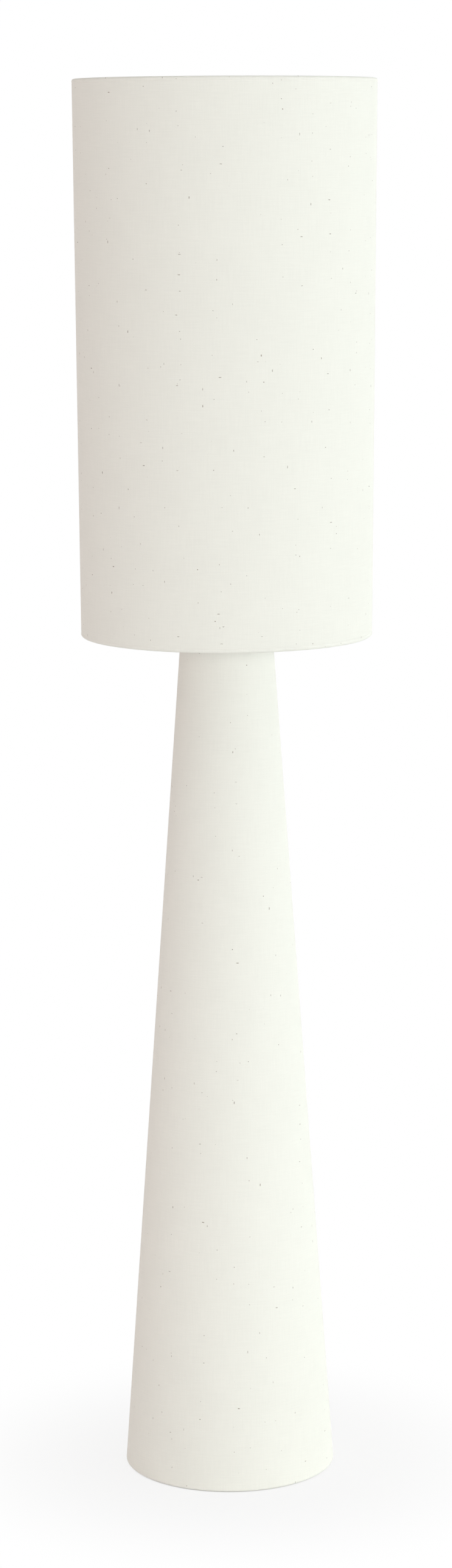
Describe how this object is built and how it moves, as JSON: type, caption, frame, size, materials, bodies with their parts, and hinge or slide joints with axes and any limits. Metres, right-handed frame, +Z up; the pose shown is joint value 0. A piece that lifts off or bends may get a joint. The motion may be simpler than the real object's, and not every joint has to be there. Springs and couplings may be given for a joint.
{
  "type": "column floor lamp",
  "caption": "Floor lamp with a slim cloth-covered cone column and a tall drum shade in the same flecked ivory cotton; the shade, its clamp ring and the bulb turn.",
  "frame": {"origin": "on the floor, under the column's axis", "axes": "+Z up along the column; +Y to the back, where the seams and the cord outlet are; +X to the right as seen from the front"},
  "size_m": [0.34, 0.34, 1.6],
  "materials": {
    "cloth": "woven natural cotton, ivory with small brown flecks",
    "liner_sheet": "matt white laminate",
    "board": "kraft board",
    "wood_disc": "raw fibreboard",
    "painted_disc": "white painted fibreboard",
    "felt": "pressed felt",
    "ballast": "rough cast, dipped",
    "plated_steel": "zinc plated",
    "painted_wire": "white powder coat",
    "holder_plastic": "moulded, satin",
    "ceramic": "unglazed steatite",
    "brass": "bare brass",
    "grommet": "moulded, satin",
    "bulb_metal": "nickel plated",
    "bulb_glass_black": "vitreous black insulator",
    "bulb_housing": "moulded white",
    "circuit_board": "solder mask",
    "led_plate": "satin",
    "led_chip": "phosphor",
    "opal": "opal diffuser"
  },
  "bodies": {
    "stand": {"floor_felt": "felt", "base_disc": "wood_disc", "ballast_disc": "ballast", "tie_rod": "plated_steel", "rod_washers": "plated_steel", "rod_nuts": "plated_steel", "column_liner": "board", "column_cover": "cloth", "cap_disc": "painted_disc", "cord_grommet": "grommet", "riser_sleeve": "plated_steel", "lampholder_cap": "holder_plastic", "cap_grub_screw": "plated_steel", "lampholder_body": "holder_plastic", "lampholder_insert": "ceramic", "terminal_screws": "brass", "screw_shell": "brass", "centre_contact": "brass"},
    "clamp": {"clamp_ring": "holder_plastic"},
    "shade": {"fitter_ring": "painted_wire", "fitter_arms": "painted_wire", "bottom_wire": "painted_wire", "top_wire": "painted_wire", "shade_liner": "liner_sheet", "shade_cover": "cloth"},
    "bulb_foot": {"bulb_tip": "bulb_metal"},
    "bulb": {"bulb_insulator": "bulb_glass_black", "bulb_cap": "bulb_metal", "bulb_housing": "bulb_housing", "driver_board": "circuit_board", "led_plate": "led_plate", "led_chips": "led_chip", "bulb_globe": "opal"}
  },
  "joints": [
    {"name": "shade_turn", "type": "hinge", "parent": "stand", "child": "shade", "pos_m": [0, 0, 1.0972], "axis": [0, 0, 1], "continuous": true},
    {"name": "clamp_turn", "type": "hinge", "parent": "stand", "child": "clamp", "pos_m": [0, 0, 1.1], "axis": [0, 0, 1], "range_deg": [0, 1440]},
    {"name": "bulb_rise", "type": "slide", "parent": "stand", "child": "bulb_foot", "axis": [0, 0, 1], "range_m": [0, 0.01815]},
    {"name": "bulb_turn", "type": "hinge", "parent": "bulb_foot", "child": "bulb", "pos_m": [0, 0, 1.1], "axis": [0, 0, 1], "range_deg": [0, 1800]}
  ],
  "couplings": [
    {"joint": "bulb_rise", "follows": "bulb_turn", "m_per_rad": 0.00057757}
  ]
}
